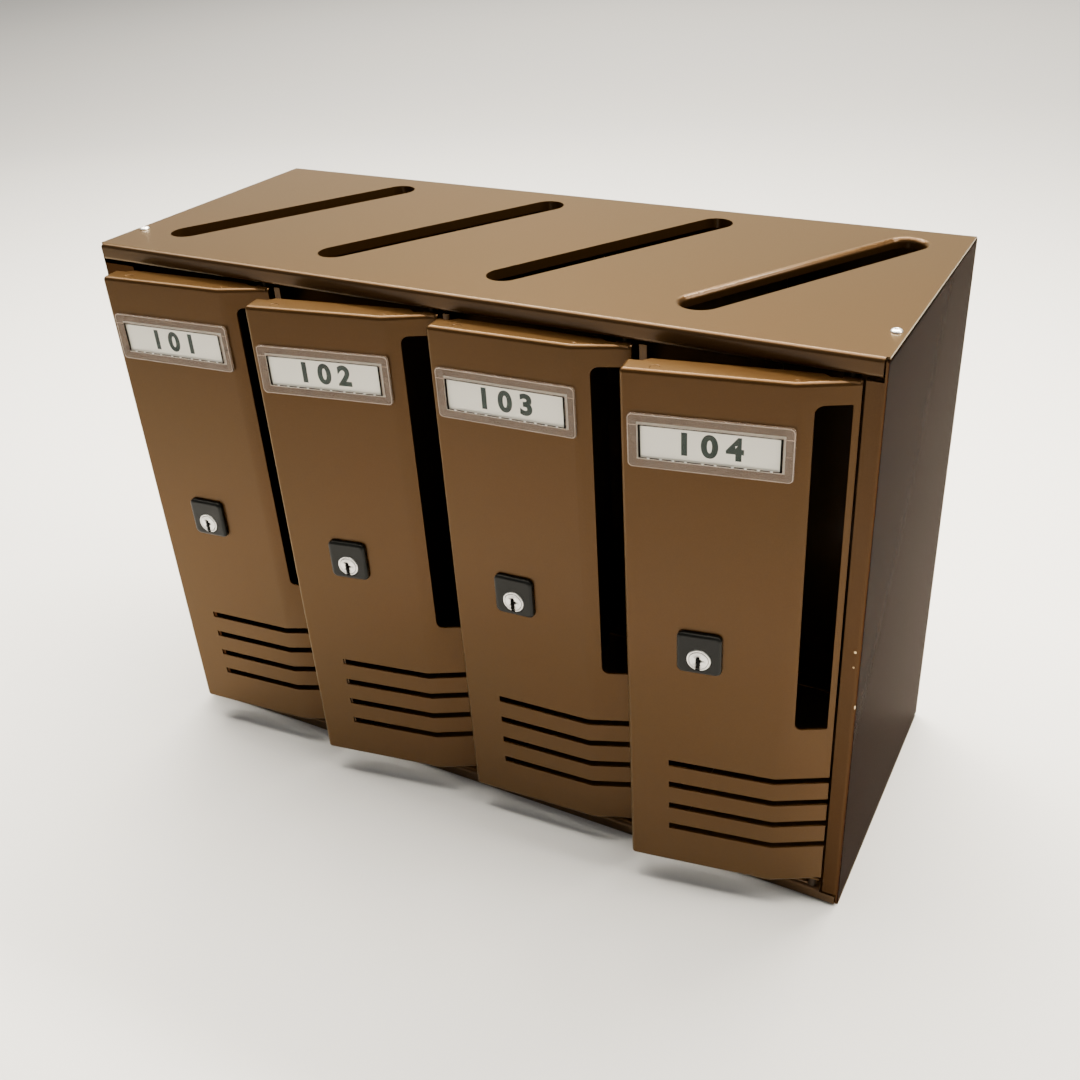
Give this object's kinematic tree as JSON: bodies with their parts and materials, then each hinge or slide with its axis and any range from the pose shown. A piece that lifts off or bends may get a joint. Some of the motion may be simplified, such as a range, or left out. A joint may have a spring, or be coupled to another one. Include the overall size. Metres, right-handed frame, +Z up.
{
  "type": "cluster mailbox unit",
  "caption": "Sheet-metal cluster mailbox: side-by-side locking doors with name holders, vents and tall mail slots, and slanted drop slots in the roof.",
  "frame": {"origin": "middle of the base's underside, halfway between the side panels and between the front plane and the back", "axes": "+X to the right seen from the front, +Y towards the back, +Z up; the doors face -Y"},
  "size_m": [0.5, 0.2282, 0.3605],
  "materials": {
    "case_paint": "satin bronze metallic powder coat",
    "door_paint": "satin bronze metallic powder coat",
    "rivet_metal": "bright",
    "pin_steel": "turned",
    "spacer_nylon": "natural nylon",
    "clear_plastic": "clear moulded",
    "name_card": "white card",
    "black_plastic": "black moulded, semi-gloss",
    "lock_metal": "turned and nickel plated",
    "zinc_steel": "zinc plated"
  },
  "bodies": {
    "cabinet": {"left_side_panel": "case_paint", "right_side_panel": "case_paint", "roof_panel": "case_paint", "floor_panel": "case_paint", "back_panel": "case_paint", "divider_1": "case_paint", "divider_2": "case_paint", "divider_3": "case_paint", "roof_rivets": "rivet_metal", "upper_hinge_pins": "pin_steel", "lower_hinge_pins": "pin_steel", "hinge_spacers": "spacer_nylon"},
    "door_1": {"door_1_panel": "door_paint", "door_1_name_holder": "clear_plastic", "door_1_name_card": "name_card", "door_1_lock_cap": "black_plastic", "door_1_lock_body": "lock_metal", "door_1_lock_nut": "zinc_steel"},
    "lock_1": {"door_1_lock_plug": "lock_metal", "door_1_lock_cam": "zinc_steel", "door_1_cam_screw": "zinc_steel"},
    "door_2": {"door_2_panel": "door_paint", "door_2_name_holder": "clear_plastic", "door_2_name_card": "name_card", "door_2_lock_cap": "black_plastic", "door_2_lock_body": "lock_metal", "door_2_lock_nut": "zinc_steel"},
    "lock_2": {"door_2_lock_plug": "lock_metal", "door_2_lock_cam": "zinc_steel", "door_2_cam_screw": "zinc_steel"},
    "door_3": {"door_3_panel": "door_paint", "door_3_name_holder": "clear_plastic", "door_3_name_card": "name_card", "door_3_lock_cap": "black_plastic", "door_3_lock_body": "lock_metal", "door_3_lock_nut": "zinc_steel"},
    "lock_3": {"door_3_lock_plug": "lock_metal", "door_3_lock_cam": "zinc_steel", "door_3_cam_screw": "zinc_steel"},
    "door_4": {"door_4_panel": "door_paint", "door_4_name_holder": "clear_plastic", "door_4_name_card": "name_card", "door_4_lock_cap": "black_plastic", "door_4_lock_body": "lock_metal", "door_4_lock_nut": "zinc_steel"},
    "lock_4": {"door_4_lock_plug": "lock_metal", "door_4_lock_cam": "zinc_steel", "door_4_cam_screw": "zinc_steel"}
  },
  "joints": [
    {"name": "door_1_hinge", "type": "hinge", "parent": "cabinet", "child": "door_1", "pos_m": [-0.1205, -0.09575, 0.1802], "axis": [0, 0, 1], "range_deg": [-4.96, 65.04]},
    {"name": "door_1_lock", "type": "hinge", "parent": "door_1", "child": "lock_1", "pos_m": [-0.18726, -0.1164, 0.1802], "axis": [-0.0865, 0.9963, 0], "range_deg": [0, 90]},
    {"name": "door_2_hinge", "type": "hinge", "parent": "cabinet", "child": "door_2", "pos_m": [-0.0026, -0.09575, 0.1802], "axis": [0, 0, 1], "range_deg": [-9.45, 60.55]},
    {"name": "door_2_lock", "type": "hinge", "parent": "door_2", "child": "lock_2", "pos_m": [-0.06754, -0.12156, 0.1802], "axis": [-0.1642, 0.9864, 0], "range_deg": [0, 90]},
    {"name": "door_3_hinge", "type": "hinge", "parent": "cabinet", "child": "door_3", "pos_m": [0.1153, -0.09575, 0.1802], "axis": [0, 0, 1], "range_deg": [-2.78, 67.22]},
    {"name": "door_3_lock", "type": "hinge", "parent": "door_3", "child": "lock_3", "pos_m": [0.0478, -0.11385, 0.1802], "axis": [-0.0485, 0.9988, 0], "range_deg": [0, 90]},
    {"name": "door_4_hinge", "type": "hinge", "parent": "cabinet", "child": "door_4", "pos_m": [0.2332, -0.09575, 0.1802], "axis": [0, 0, 1], "range_deg": [-9.38, 60.62]},
    {"name": "door_4_lock", "type": "hinge", "parent": "door_4", "child": "lock_4", "pos_m": [0.16823, -0.12148, 0.1802], "axis": [-0.163, 0.9866, 0], "range_deg": [0, 90]}
  ]
}
